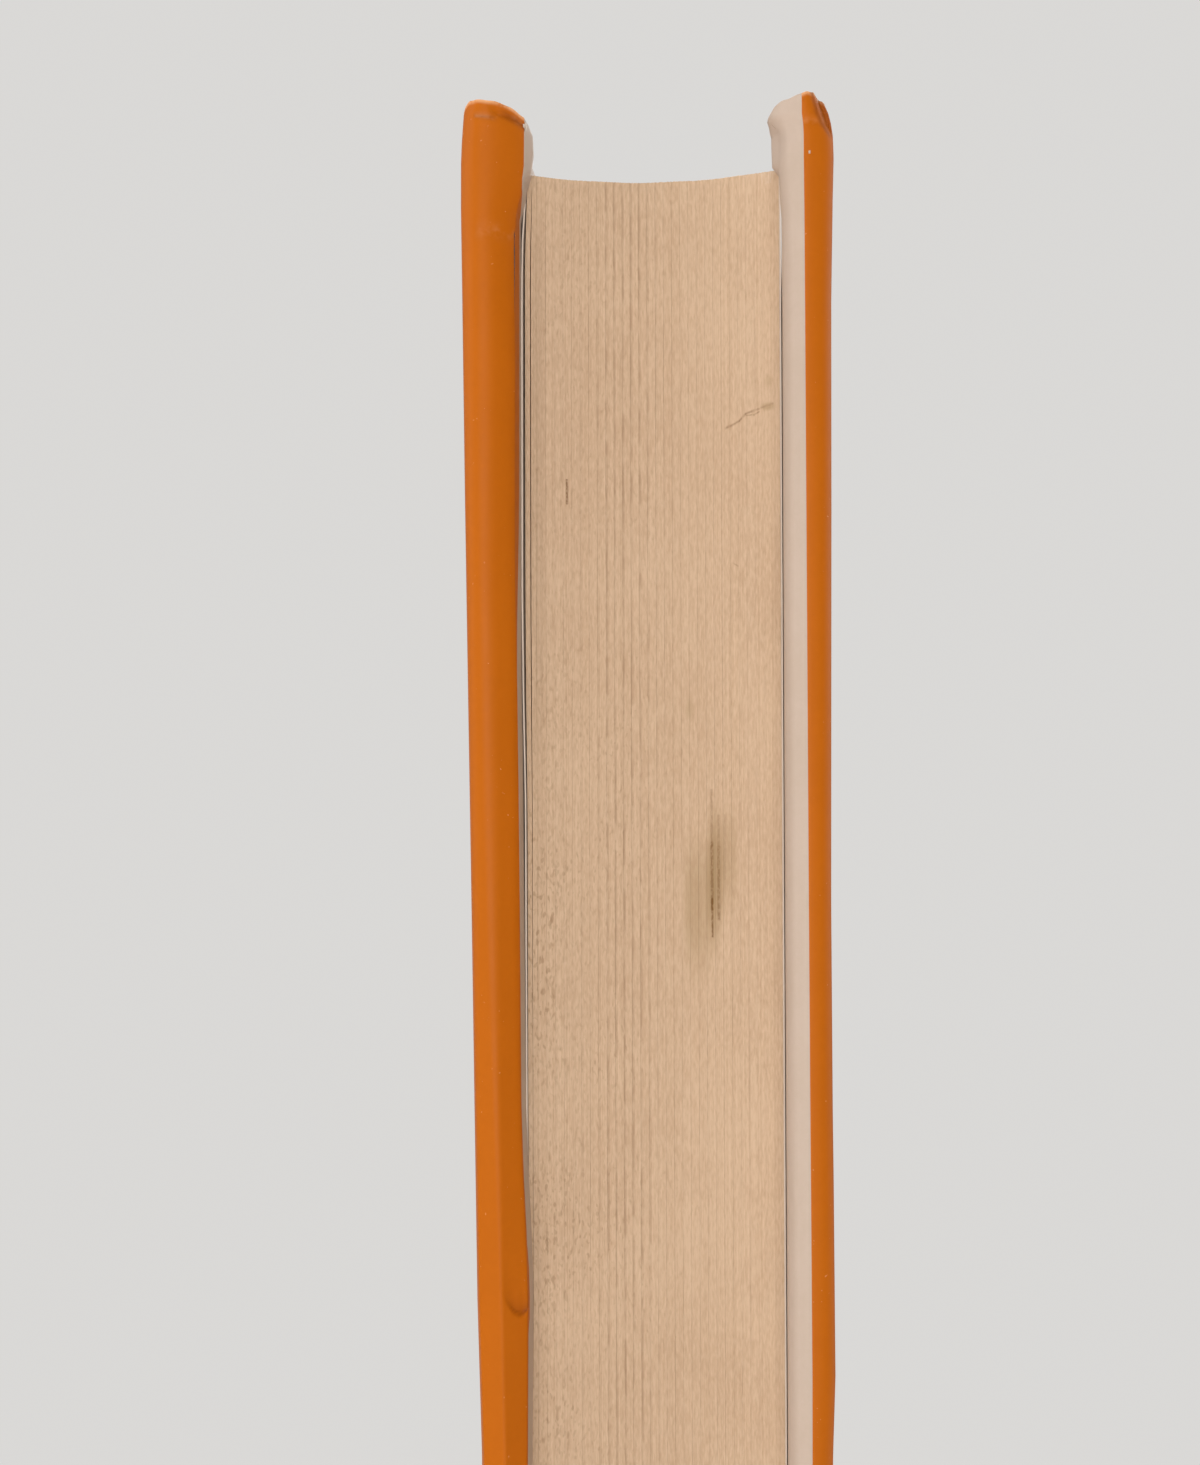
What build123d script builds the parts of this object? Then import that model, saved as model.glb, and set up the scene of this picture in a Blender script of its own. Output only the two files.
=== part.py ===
from build123d import *
import os
from math import asin, cos, degrees, radians, sin

# A case-bound hardcover book in a paper dust jacket, standing on its tail.
# Millimetres; +Z runs from tail to head, the fore-edge faces -Y, the spine +Y and the front cover -X.
# Every piece is drawn in plan with the spine shoulders on y = 0 and set over the origin on export.

# Pages
page_height = 228.0
page_width = 152.0
block_thickness = 25.4
spine_round = 5.0
fore_edge_hollow = 3.8
shoulder_angle = 60.0

# Sheets, boards and how they lie on each other
board_thickness = 2.5
cloth_thickness = 0.3
endpaper_thickness = 0.15
jacket_thickness = 0.2
page_clearance = 0.35
flap_clearance = 0.075
jacket_slack = 0.15

# Case
head_square = 3.5
fore_square = 4.0
groove_width = 3.6
turn_in = 15.0
edge_round = 0.5
corner_round = 1.0
mull_inset = 14.0
wing_width = 25.0

# Spine of the case
mull_thickness = 0.3
hollow_gap = 0.6
strip_thickness = 0.8
spine_jacket_slack = 0.1

# Headbands
bead_radius = 0.9
band_height = 10.0
band_thickness = 0.3
band_end_angle = 1.5

# Dust jacket
jacket_rise = 2.5
flap_width = 85.0
fold_depth = 1.8
fold_start = 0.3
jacket_joint = 5.6
lift_length = 20.0

# How far each fold stands off its board, below lift_foot, at lift_knee and at the head
lift_foot = 135.0
lift_knee = 40.0
front_outer_lift = (0.0, 1.2, 2.0)
front_inner_lift = (0.5, 0.0, 0.4)
back_outer_lift = (0.2, 0.4, 1.0)
back_inner_lift = (0.5, 0.5, 1.2)

# Layers outward from the side of the pages: flyleaf, flap, pastedown, turn-in, board, cloth, jacket
flap_in = endpaper_thickness + page_clearance
flap_out = flap_in + jacket_thickness
pastedown_in = flap_out + flap_clearance
lining_in = pastedown_in + endpaper_thickness
board_in = lining_in + cloth_thickness
board_out = board_in + board_thickness
cloth_out = board_out + cloth_thickness
jacket_in = cloth_out + jacket_slack
jacket_out = jacket_in + jacket_thickness

# Layers outward from the rounded spine: mull, hollow, strip, cloth, jacket
strip_in = mull_thickness + hollow_gap
strip_out = strip_in + strip_thickness
spine_cloth_out = strip_out + cloth_thickness
spine_jacket_in = spine_cloth_out + spine_jacket_slack
spine_jacket_out = spine_jacket_in + jacket_thickness

# The shoulder is backed to the height of the covered board and flares on an arc
half_block = block_thickness / 2
shoulder = board_thickness + cloth_thickness
shoulder_turn = radians(shoulder_angle)
flare_radius = shoulder / (1 - cos(shoulder_turn))
flare_run = flare_radius * sin(shoulder_turn)
half_spine = half_block + shoulder
spine_radius = (half_spine**2 + spine_round**2) / (2 * spine_round)
spine_centre_y = spine_round - spine_radius
spine_angle = degrees(asin(half_spine / spine_radius))

# Case outline in plan and height
case_height = page_height + 2 * head_square
page_tail = head_square
page_head = page_tail + page_height
case_fore = -(page_width + fore_square)
board_fore = case_fore + cloth_thickness
board_spine = -(flare_run + groove_width + cloth_thickness)
case_spine = board_spine + cloth_thickness
jacket_tail = jacket_rise
jacket_head = jacket_tail + case_height

# Everything moves so that the middle of the whole book stands over the origin
whole_fore = case_fore - fold_depth
whole_spine = spine_round + spine_jacket_out
x_shift = (front_outer_lift[2] - back_outer_lift[2]) / 2
y_shift = -(whole_fore + whole_spine) / 2


def block(x0, x1, y0, y1, z0, z1):
    """A box between two corners."""
    return Pos(x0, y0, z0) * Box(x1 - x0, y1 - y0, z1 - z0, align=(Align.MIN, Align.MIN, Align.MIN))


def upright(edges, z0, z1):
    """A plan outline carried up from one height to another."""
    return Pos(0, 0, z0) * extrude(make_face(edges), z1 - z0)


def flare_point(offset, turn):
    """A point on the shoulder flare, a layer's offset away from the pages."""
    radius = flare_radius - offset
    return (half_block + flare_radius - radius * cos(turn), -flare_run + radius * sin(turn))


def side_layer(inner, outer, fore, z0, z1):
    """A sheet that lies along the side of the pages and climbs the shoulder to its crest."""
    inner_foot = flare_point(inner, 0)
    inner_crest = flare_point(inner, shoulder_turn)
    outer_foot = flare_point(outer, 0)
    outer_crest = flare_point(outer, shoulder_turn)
    outline = [
        Line((half_block + inner, fore), inner_foot),
        ThreePointArc(inner_foot, flare_point(inner, shoulder_turn / 2), inner_crest),
        Line(inner_crest, outer_crest),
        ThreePointArc(outer_crest, flare_point(outer, shoulder_turn / 2), outer_foot),
        Line(outer_foot, (half_block + outer, fore)),
        Line((half_block + outer, fore), (half_block + inner, fore)),
    ]
    return upright(outline, z0, z1)


def spine_point(offset, angle):
    """A point on a circle round the spine's centre, the angle taken from straight back."""
    radius = spine_radius + offset
    turn = radians(angle)
    return (radius * sin(turn), spine_centre_y + radius * cos(turn))


def spine_layer(inner, outer, start, end, z0, z1):
    """A sheet bent round the spine between two angles."""
    middle = (start + end) / 2
    outline = [
        ThreePointArc(spine_point(inner, start), spine_point(inner, middle), spine_point(inner, end)),
        Line(spine_point(inner, end), spine_point(outer, end)),
        ThreePointArc(spine_point(outer, end), spine_point(outer, middle), spine_point(outer, start)),
        Line(spine_point(outer, start), spine_point(inner, start)),
    ]
    return upright(outline, z0, z1)


# Text block: flat sides, flared shoulders, rounded spine and hollowed fore-edge
right_fore = (half_block, -page_width)
left_fore = (-half_block, -page_width)
right_foot = flare_point(0, 0)
right_waist = flare_point(0, shoulder_turn / 2)
right_crest = (half_spine, 0)
left_foot = (-right_foot[0], right_foot[1])
left_waist = (-right_waist[0], right_waist[1])
left_crest = (-half_spine, 0)
text_block = upright(
    [
        Line(right_fore, right_foot),
        ThreePointArc(right_foot, right_waist, right_crest),
        ThreePointArc(right_crest, (0, spine_round), left_crest),
        ThreePointArc(left_crest, left_waist, left_foot),
        Line(left_foot, left_fore),
        ThreePointArc(left_fore, (0, fore_edge_hollow - page_width), right_fore),
    ],
    page_tail,
    page_head,
)

# Endpapers: the free flyleaf lies on the pages, the pastedown fills the window left by the turn-ins
flyleaf = side_layer(0, endpaper_thickness, -page_width, page_tail, page_head)
pastedown = side_layer(pastedown_in, lining_in, -page_width, page_tail, page_head)
pastedown += block(
    half_block + lining_in,
    half_block + board_in,
    case_fore + turn_in,
    board_spine - wing_width,
    turn_in,
    case_height - turn_in,
)

# Mull: gauze over the spine, and its wing between pastedown and board
mull_tail = page_tail + mull_inset
mull_head = page_head - mull_inset
spine_mull = spine_layer(0, mull_thickness, -spine_angle, spine_angle, mull_tail, mull_head)
mull_wing = side_layer(lining_in, board_in, board_spine - wing_width, mull_tail, mull_head)

# Board with its fore-edge corners eased
board = block(
    half_block + board_in,
    half_block + board_out,
    board_fore,
    board_spine,
    cloth_thickness,
    case_height - cloth_thickness,
)
board_corners = board.edges().filter_by(Axis.X).group_by(Axis.Y)[0]
board = fillet(board_corners, corner_round - cloth_thickness)

# Case cloth: wrapped round the board, open inside as far as the turn-ins, then down the groove to the hinge
cloth = block(
    half_block + lining_in,
    half_block + cloth_out,
    case_fore,
    case_spine,
    0,
    case_height,
)
cloth = fillet(cloth.edges().filter_by(Axis.X).group_by(Axis.Y)[0], corner_round)
cloth = fillet(cloth.faces().sort_by(Axis.X)[-1].edges(), edge_round)
cloth -= board
cloth -= block(
    half_block + lining_in,
    half_block + board_in,
    case_fore + turn_in,
    case_spine,
    turn_in,
    case_height - turn_in,
)
cloth += side_layer(board_in, board_in + cloth_thickness, board_spine, 0, case_height)
cloth += side_layer(lining_in, board_in, board_spine, 0, turn_in)
cloth += side_layer(lining_in, board_in, board_spine, case_height - turn_in, case_height)
hinge_x, hinge_y = flare_point(board_in + cloth_thickness / 2, shoulder_turn)
cloth += Pos(hinge_x, hinge_y, 0) * Cylinder(
    cloth_thickness / 2,
    case_height,
    align=(Align.CENTER, Align.CENTER, Align.MIN),
)

# Spine of the case: a card strip in cloth that is turned in at head and tail
lip_angle = spine_angle + degrees(cloth_thickness / spine_radius)
turned_in = strip_in - cloth_thickness
spine_strip = spine_layer(
    strip_in,
    strip_out,
    -spine_angle,
    spine_angle,
    cloth_thickness,
    case_height - cloth_thickness,
)
spine_cloth = spine_layer(turned_in, spine_cloth_out, -lip_angle, lip_angle, 0, case_height)
spine_cloth -= spine_strip
spine_cloth -= spine_layer(
    turned_in - cloth_thickness,
    strip_in + strip_thickness / 2,
    -spine_angle,
    spine_angle,
    turn_in,
    case_height - turn_in,
)

# Headband: a rolled bead on the spine end of the pages with its tape glued down the spine
band_plane = Plane(origin=(0, spine_centre_y, 0), x_dir=(0, 1, 0), z_dir=(1, 0, 0))
band_axis = Axis((0, spine_centre_y, 0), (0, 0, 1))
band_sweep = 2 * (spine_angle - band_end_angle)
tape = Pos(spine_radius, page_head - band_height) * Rectangle(
    band_thickness,
    band_height + bead_radius,
    align=(Align.MIN, Align.MIN),
)
bead = Pos(spine_radius + band_thickness - bead_radius, page_head + bead_radius) * Circle(bead_radius)
headband = revolve(band_plane * (tape + bead), band_axis, band_sweep)
headband = headband.rotate(band_axis, -band_sweep / 2)
tailband = mirror(headband, Plane.XY.offset(case_height / 2))


def jacket_section(outer_lift, inner_lift, z):
    """One level of a jacket panel, its fore-edge fold and its flap, the fold lifted off the board."""
    panel_x = half_block + jacket_out
    flap_x = half_block + flap_in
    fold_y = case_fore - fold_start
    flap_bend_y = case_fore + fore_square - flap_clearance
    outer = [
        (panel_x, -jacket_joint),
        (panel_x, case_fore + lift_length),
        (panel_x + outer_lift, fold_y),
        ((panel_x + outer_lift + flap_x - inner_lift) / 2, case_fore - fold_depth),
        (flap_x - inner_lift, fold_y),
        (flap_x, flap_bend_y),
        (flap_x, case_fore + flap_width),
    ]
    inner = [(x - jacket_thickness, y) for x, y in outer[:3]]
    inner += [(outer[3][0], outer[3][1] + jacket_thickness)]
    inner += [(x + jacket_thickness, y) for x, y in outer[4:]]
    outline = [
        Line(outer[0], outer[1]),
        Line(outer[1], outer[2]),
        ThreePointArc(outer[2], outer[3], outer[4]),
        Line(outer[4], outer[5]),
        Line(outer[5], outer[6]),
        Line(outer[6], inner[6]),
        Line(inner[6], inner[5]),
        Line(inner[5], inner[4]),
        ThreePointArc(inner[4], inner[3], inner[2]),
        Line(inner[2], inner[1]),
        Line(inner[1], inner[0]),
        Line(inner[0], outer[0]),
    ]
    return Pos(0, 0, z) * make_face(outline)


def jacket_cover(outer_lift, inner_lift):
    """A jacket panel with fold and flap; the fold opens towards the head."""
    heights = [jacket_head - lift_foot, jacket_head - lift_knee, jacket_head]
    sections = [jacket_section(outer_lift[0], inner_lift[0], jacket_tail)]
    for outer, inner, z in zip(outer_lift, inner_lift, heights):
        sections.append(jacket_section(outer, inner, z))
    return loft(sections, ruled=True)


# Dust jacket: two cover panels, and the spine panel that bridges both grooves
jacket_front = jacket_cover(front_outer_lift, front_inner_lift)
jacket_back = jacket_cover(back_outer_lift, back_inner_lift)
fold_angle = lip_angle + degrees(cloth_thickness / spine_radius)
spine_in = spine_point(spine_jacket_in, fold_angle)
spine_out = spine_point(spine_jacket_out, fold_angle)
joint_in = (half_block + jacket_in, -jacket_joint)
joint_out = (half_block + jacket_out, -jacket_joint)
jacket_spine = upright(
    [
        Line(joint_out, spine_out),
        ThreePointArc(spine_out, spine_point(spine_jacket_out, 0), (-spine_out[0], spine_out[1])),
        Line((-spine_out[0], spine_out[1]), (-joint_out[0], joint_out[1])),
        Line((-joint_out[0], joint_out[1]), (-joint_in[0], joint_in[1])),
        Line((-joint_in[0], joint_in[1]), (-spine_in[0], spine_in[1])),
        ThreePointArc((-spine_in[0], spine_in[1]), spine_point(spine_jacket_in, 0), spine_in),
        Line(spine_in, joint_in),
        Line(joint_in, joint_out),
    ],
    jacket_tail,
    jacket_head,
)

back_pieces = {
    "flyleaf": flyleaf,
    "board": board,
    "cloth": cloth,
    "mull_wing": mull_wing,
    "pastedown": pastedown,
}
pieces = {
    "text_block": text_block,
    "spine_mull": spine_mull,
    "headband": headband,
    "tailband": tailband,
    "spine_strip": spine_strip,
    "spine_cloth": spine_cloth,
    "jacket_spine": jacket_spine,
    "jacket_back": jacket_back,
    "jacket_front": mirror(jacket_front, Plane.YZ),
}
for name, piece in back_pieces.items():
    pieces["back_" + name] = piece
    pieces["front_" + name] = mirror(piece, Plane.YZ)

os.makedirs("parts", exist_ok=True)
for name, piece in pieces.items():
    export_step(Pos(x_shift, y_shift, 0) * piece, f"parts/{name}.step")
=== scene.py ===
import math
import bmesh
import bpy
import numpy as np
from mathutils import Matrix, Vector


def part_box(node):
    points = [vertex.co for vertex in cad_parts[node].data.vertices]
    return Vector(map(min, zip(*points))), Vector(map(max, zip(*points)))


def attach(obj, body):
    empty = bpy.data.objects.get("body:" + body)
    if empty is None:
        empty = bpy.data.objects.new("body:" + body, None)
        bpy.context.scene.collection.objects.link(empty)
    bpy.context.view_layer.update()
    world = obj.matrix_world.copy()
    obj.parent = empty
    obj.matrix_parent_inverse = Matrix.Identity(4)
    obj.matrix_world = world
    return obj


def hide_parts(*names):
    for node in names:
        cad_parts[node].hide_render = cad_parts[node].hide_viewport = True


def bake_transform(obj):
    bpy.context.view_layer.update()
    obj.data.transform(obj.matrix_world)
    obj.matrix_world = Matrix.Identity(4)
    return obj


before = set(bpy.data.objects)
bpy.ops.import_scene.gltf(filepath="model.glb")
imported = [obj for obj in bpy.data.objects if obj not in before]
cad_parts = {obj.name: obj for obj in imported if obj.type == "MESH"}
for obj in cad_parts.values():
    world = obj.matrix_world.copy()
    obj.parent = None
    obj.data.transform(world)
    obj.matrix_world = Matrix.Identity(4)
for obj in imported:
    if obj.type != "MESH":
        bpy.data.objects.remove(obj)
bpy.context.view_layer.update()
bpy.context.scene.view_settings.view_transform = "Standard"

# Text block: some 480 pages of bulky cream paper, folded into gatherings of eight leaves, glued at the
# spine, rounded and trimmed on three sides. Each leaf shows its own cut edge on the hollowed fore-edge,
# the head and the tail; the first few have sprung a little away from the rest near the head.
mm = 0.001
block_low, block_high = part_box("text_block")
spine_round, fore_hollow = 5.0 * mm, 3.8 * mm
page_width = 152.0 * mm
page_height = block_high[2] - block_low[2]
page_tail = block_low[2]
block_half = 12.7 * mm
middle_x = (block_low[0] + block_high[0]) / 2
shoulder_y = block_high[1] - spine_round
flare_radius, flare_run = 5.6 * mm, 4.85 * mm
leaf_count, gathering_size = 240, 8
gathering_gap = 0.008 * mm
leaf_pitch = (2 * block_half - gathering_gap * (leaf_count / gathering_size - 1)) / leaf_count
leaf_half = leaf_pitch * 0.47
rim_depth = 1.6 * mm
rng = np.random.default_rng(11)


def smooth(value, low, high):
    """0 below low, 1 above high, eased between."""
    t = np.clip((np.asarray(value, float) - low) / (high - low), 0.0, 1.0)
    return t * t * (3 - 2 * t)


def bell(value, middle, width):
    """1 at the middle, fading away on both sides of it over a width."""
    return np.exp(-(((value - middle) / width) ** 2))


def along(pairs, z):
    """A size read from a short list of heights and sizes."""
    table = np.array(pairs, float)
    return np.interp(z, table[:, 0], table[:, 1])


def new_piece(name, mesh):
    """An object for a finished mesh, at the origin of the frame."""
    piece = bpy.data.objects.new(name, mesh)
    bpy.context.scene.collection.objects.link(piece)
    return piece


def closed_piece(name, points, faces, material=None):
    """A piece from points and faces that close on themselves, with its faces turned outwards."""
    mesh = bpy.data.meshes.new(name)
    mesh.from_pydata([tuple(map(float, point)) for point in points], [], faces)
    work = bmesh.new()
    work.from_mesh(mesh)
    bmesh.ops.recalc_face_normals(work, faces=work.faces)
    work.to_mesh(mesh)
    work.free()
    if material:
        mesh.materials.append(material)
    return new_piece(name, mesh)


def flare(y):
    """How far a leaf at the outside of the block has turned out over the shoulder, at a depth y."""
    rise = np.clip(np.asarray(y, float) + flare_run, 0.0, flare_run)
    return flare_radius - np.sqrt(flare_radius**2 - rise**2)


def bind(x, y):
    """Carries a flat stack of leaves into the rounded block: x across, y from the spine."""
    share = np.clip(x / block_half, -1.0, 1.0)
    bow = fore_hollow + (spine_round - fore_hollow) * (y + page_width) / page_width
    return middle_x + x + share * flare(y), shoulder_y + y + bow * (1 - share**2)


# One leaf, as a band along its three cut edges
trim_steps = [-back * mm for back in (0, 1, 2, 3.2, 4.6, 7, 14, 45, 80, 115, 138, 147, 150.2)]
fore_steps = 44
rim_rows = [((y, page_height), (y, page_height - rim_depth)) for y in trim_steps]
rim_rows.append(((-page_width, page_height), (rim_depth - page_width, page_height - rim_depth)))
for z in np.linspace(page_height - 2 * rim_depth, 2 * rim_depth, fore_steps):
    rim_rows.append(((-page_width, z), (rim_depth - page_width, z)))
rim_rows.append(((-page_width, 0.0), (rim_depth - page_width, rim_depth)))
rim_rows += [((y, 0.0), (y, rim_depth)) for y in reversed(trim_steps)]
rim_points = []
for (edge_y, edge_z), (core_y, core_z) in rim_rows:
    rim_points += [(-leaf_half, edge_y, edge_z), (leaf_half, edge_y, edge_z)]
    rim_points += [(leaf_half, core_y, core_z), (-leaf_half, core_y, core_z)]
rim_faces = [(0, 1, 2, 3)]
for row in range(len(rim_rows) - 1):
    for side in range(4):
        after = (side + 1) % 4
        rim_faces.append((4 * row + side, 4 * row + after, 4 * row + 4 + after, 4 * row + 4 + side))
rim_faces.append(tuple(4 * len(rim_rows) - 4 + side for side in range(4)))
leaf_rim = closed_piece("leaf_rim", rim_points, rim_faces)


def node(tree, kind, inputs=None, **settings):
    """A node with its settings, and its inputs given as values or as sockets to link."""
    made = tree.nodes.new(kind)
    for key, value in settings.items():
        setattr(made, key, value)
    for key, value in (inputs or {}).items():
        if isinstance(value, bpy.types.NodeSocket):
            tree.links.new(value, made.inputs[key])
        else:
            made.inputs[key].default_value = value
    return made


def wired(kind, inputs, **settings):
    """A node in the tree that its input sockets come from."""
    tree = next(value.id_data for value in inputs.values() if isinstance(value, bpy.types.NodeSocket))
    return node(tree, kind, inputs, **settings)


def calc(operation, a, b=0.0, c=0.0, clamp=False):
    """One step of arithmetic between sockets or numbers."""
    return wired("ShaderNodeMath", {0: a, 1: b, 2: c}, operation=operation, use_clamp=clamp).outputs[0]


def times(*shares):
    """Shares multiplied together."""
    product = shares[0]
    for share in shares[1:]:
        product = calc("MULTIPLY", product, share)
    return product


def scaled(value, size, base):
    """A value times a size, plus a base."""
    return calc("MULTIPLY_ADD", value, size, base)


def place_at(x, y=0.0, z=0.0):
    """A place from its coordinates."""
    return wired("ShaderNodeCombineXYZ", {0: x, 1: y, 2: z}).outputs[0]


def new_group(name, kind, inputs, outputs):
    """A node group with named inputs and outputs, and the sockets that its inputs come in by."""
    group = bpy.data.node_groups.new(name, kind)
    for way, sockets in (("INPUT", inputs), ("OUTPUT", outputs)):
        for label, socket in sockets.items():
            group.interface.new_socket(label, in_out=way, socket_type="NodeSocket" + socket)
    return group, node(group, "NodeGroupInput").outputs


# The stack of leaves, jogged a little unevenly, with a wider gap after each gathering
gather, leaf_in = new_group(
    "gathered_leaves",
    "GeometryNodeTree",
    {
        "Leaf": "Object", "Leaves": "Int", "Pitch": "Float", "Gathering": "Int", "Gathering Gap": "Float",
        "Start": "Vector", "Uneven": "Float", "Seed": "Int", "Paper": "Material",
    },
    {"Block": "Geometry"},
)


def shaped(kind, inputs, **settings):
    """What a geometry node puts out first."""
    return wired("GeometryNode" + kind, inputs, **settings).outputs[0]


leaf_number = node(gather, "GeometryNodeInputIndex").outputs[0]
leaf_step = place_at(leaf_in["Pitch"])
stack_line = {"Count": leaf_in["Leaves"], "Start Location": leaf_in["Start"], "Offset": leaf_step}
stack = shaped("MeshLine", stack_line, mode="OFFSET")
leaf_label = {"Geometry": stack, "Name": "leaf", "Value": leaf_number}
numbered = shaped("StoreNamedAttribute", leaf_label, data_type="FLOAT", domain="POINT")
folded = calc("FLOOR", calc("DIVIDE", leaf_number, leaf_in["Gathering"]))
gap_shift = times(folded, leaf_in["Gathering Gap"])
jog_range = {"Min": 0.0, "Max": leaf_in["Uneven"], "ID": leaf_number, "Seed": leaf_in["Seed"]}
uneven = node(gather, "FunctionNodeRandomValue", jog_range, data_type="FLOAT").outputs[1]
jog = place_at(gap_shift, uneven)
jogged = shaped("SetPosition", {"Geometry": numbered, "Offset": jog})
leaf_shape = node(gather, "GeometryNodeObjectInfo", {"Object": leaf_in["Leaf"]}).outputs["Geometry"]
stood = shaped("InstanceOnPoints", {"Points": jogged, "Instance": leaf_shape})
cut = shaped("RealizeInstances", {"Geometry": stood})
papered = shaped("SetMaterial", {"Geometry": cut, "Material": leaf_in["Paper"]})
node(gather, "NodeGroupOutput", {"Block": papered})


def tint(red, green, blue):
    """A colour read in 0 to 255, as the linear colour that a shader takes."""
    parts = [v / 255 for v in (red, green, blue)]
    return tuple(v / 12.92 if v <= 0.04045 else ((v + 0.055) / 1.055) ** 2.4 for v in parts) + (1.0,)


def mixed(share, first, second, blend="MIX"):
    """Two colours mixed by a share that varies over the surface."""
    made = wired("ShaderNodeMix", {0: share, 6: first, 7: second}, data_type="RGBA", blend_type=blend)
    return made.outputs[2]


def ramp(value, low, high):
    """0 to 1 as a value goes from low to high, eased."""
    span = {"Value": value, "From Min": low, "From Max": high}
    return wired("ShaderNodeMapRange", span, interpolation_type="SMOOTHSTEP").outputs[0]


def noise(place, scale, detail=3.0, rough=0.55):
    """A soft random value over the surface."""
    grains = {"Vector": place, "Scale": scale, "Detail": detail, "Roughness": rough}
    return wired("ShaderNodeTexNoise", grains).outputs[0]


def stretched(place, scale, tilt=0.0):
    """A place drawn out along some axes and tilted, so that a pattern on it runs that way."""
    turn = (0.0, tilt, 0.0)
    return wired("ShaderNodeMapping", {"Vector": place, "Rotation": turn, "Scale": scale}).outputs[0]


def vector(operation, a, b=(0.0, 0.0, 0.0), scale=1.0):
    """Arithmetic with one place, or between two, that gives a place or a plain number."""
    made = wired("ShaderNodeVectorMath", {0: a, 1: b, 3: scale}, operation=operation)
    return made.outputs[1 if operation in ("DOT_PRODUCT", "DISTANCE", "LENGTH") else 0]


def parts_of(place):
    """The three coordinates of a place."""
    return wired("ShaderNodeSeparateXYZ", {0: place}).outputs


def painted(shader, name):
    """A value that is stored on the mesh, point by point."""
    return node(shader.id_data, "ShaderNodeAttribute", attribute_name=name).outputs["Fac"]


def filled(group, inputs):
    """What a shader node group puts out for its inputs."""
    return wired("ShaderNodeGroup", inputs, node_tree=group).outputs


def finish(name, **settings):
    """A new material; plain numbers go straight on its shader."""
    material = bpy.data.materials.new(name)
    material.use_nodes = True
    tree = material.node_tree
    shader = tree.nodes["Principled BSDF"]
    for key, value in settings.items():
        shader.inputs[key.replace("_", " ")].default_value = value
    place = node(tree, "ShaderNodeTexCoord").outputs["Object"]
    return material, shader, place


def surface(shader, colour, height, distance, strength):
    """Gives a shader a colour and a relief that vary over the surface."""
    relief = wired("ShaderNodeBump", {"Height": height, "Distance": distance, "Strength": strength})
    tree = shader.id_data
    tree.links.new(colour, shader.inputs["Base Color"])
    tree.links.new(relief.outputs[0], shader.inputs["Normal"])


# A short pen-like mark, darkest along its middle
mark_line, mark_in = new_group(
    "mark_line",
    "ShaderNodeTree",
    {"Place": "Vector", "From": "Vector", "To": "Vector", "Width": "Float"},
    {"Mask": "Float"},
)
mark_reach = vector("SUBTRACT", mark_in["To"], mark_in["From"])
mark_here = vector("SUBTRACT", mark_in["Place"], mark_in["From"])
mark_dot = vector("DOT_PRODUCT", mark_here, mark_reach)
mark_length = vector("DOT_PRODUCT", mark_reach, mark_reach)
mark_along = calc("DIVIDE", mark_dot, mark_length, clamp=True)
mark_foot = vector("SCALE", mark_reach, scale=mark_along)
mark_off = vector("DISTANCE", mark_here, mark_foot)
mark_share = calc("DIVIDE", mark_off, mark_in["Width"])
node(mark_line, "NodeGroupOutput", {"Mask": calc("SUBTRACT", 1.0, mark_share, clamp=True)})

# A soft-edged oval spot
soft_spot, spot_in = new_group(
    "soft_spot",
    "ShaderNodeTree",
    {"Place": "Vector", "Centre": "Vector", "Reach": "Vector"},
    {"Mask": "Float"},
)
spot_away = vector("SUBTRACT", spot_in["Place"], spot_in["Centre"])
spot_scaled = vector("DIVIDE", spot_away, spot_in["Reach"])
spot_far = vector("LENGTH", spot_scaled)
node(soft_spot, "NodeGroupOutput", {"Mask": ramp(spot_far, 1.0, 0.2)})

# Cut leaf edges: fibres along each leaf, painted shade along the seams between gatherings, flecks of torn
# fibre on the left
page_edge, edge_in = new_group(
    "page_edge",
    "ShaderNodeTree",
    {"Place": "Vector", "Leaf Tone": "Float", "Seam": "Float"},
    {"Colour": "Color", "Tone": "Float", "Height": "Float"},
)
paper_dark, paper_light, dull_leaf = tint(199, 169, 140), tint(213, 185, 156), (0.89, 0.86, 0.83, 1)
seam_shade_brown, fleck_brown = tint(142, 106, 76), tint(132, 100, 66)
place = edge_in["Place"]
fibre = noise(stretched(place, (5200.0, 500.0, 1100.0)), 1.0, 1.0, 0.6)
cloud = noise(place, 70.0, 1.0)
tone = scaled(fibre, 0.7, times(cloud, 0.3))
colour = mixed(ramp(tone, 0.3, 0.7), paper_dark, paper_light)
dulled = mixed(1.0, colour, dull_leaf, "MULTIPLY")
colour = mixed(edge_in["Leaf Tone"], dulled, colour)
# Painted shade: the gaps between gatherings are darkened in brown dashes
breaks = noise(stretched(place, (1500.0, 200.0, 330.0)), 1.0, 1.0, 0.6)
breaks = scaled(ramp(breaks, 0.36, 0.66), 0.8, 0.2)
seam_shade_mask = times(edge_in["Seam"], breaks)
colour = mixed(times(seam_shade_mask, 0.72), colour, seam_shade_brown)
on_block = parts_of(place)
below_head = ramp(on_block[2], 195.0 * mm, 160.0 * mm)
left_side = ramp(on_block[0], 6.0 * mm, -9.0 * mm)
left_side = times(left_side, scaled(below_head, 0.6, 0.4))
left_rim = times(ramp(on_block[0], -7.5 * mm, -10.5 * mm), below_head)
patches = noise(stretched(place, (150.0, 20.0, 110.0)), 1.0, 0.0)
patches = ramp(patches, 0.35, 0.65)
side_patches = scaled(patches, 0.45, 0.55)
side_share = times(side_patches, scaled(left_side, 0.17, 0.07))
rim_share = times(left_rim, scaled(patches, 0.2, 0.14))
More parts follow.
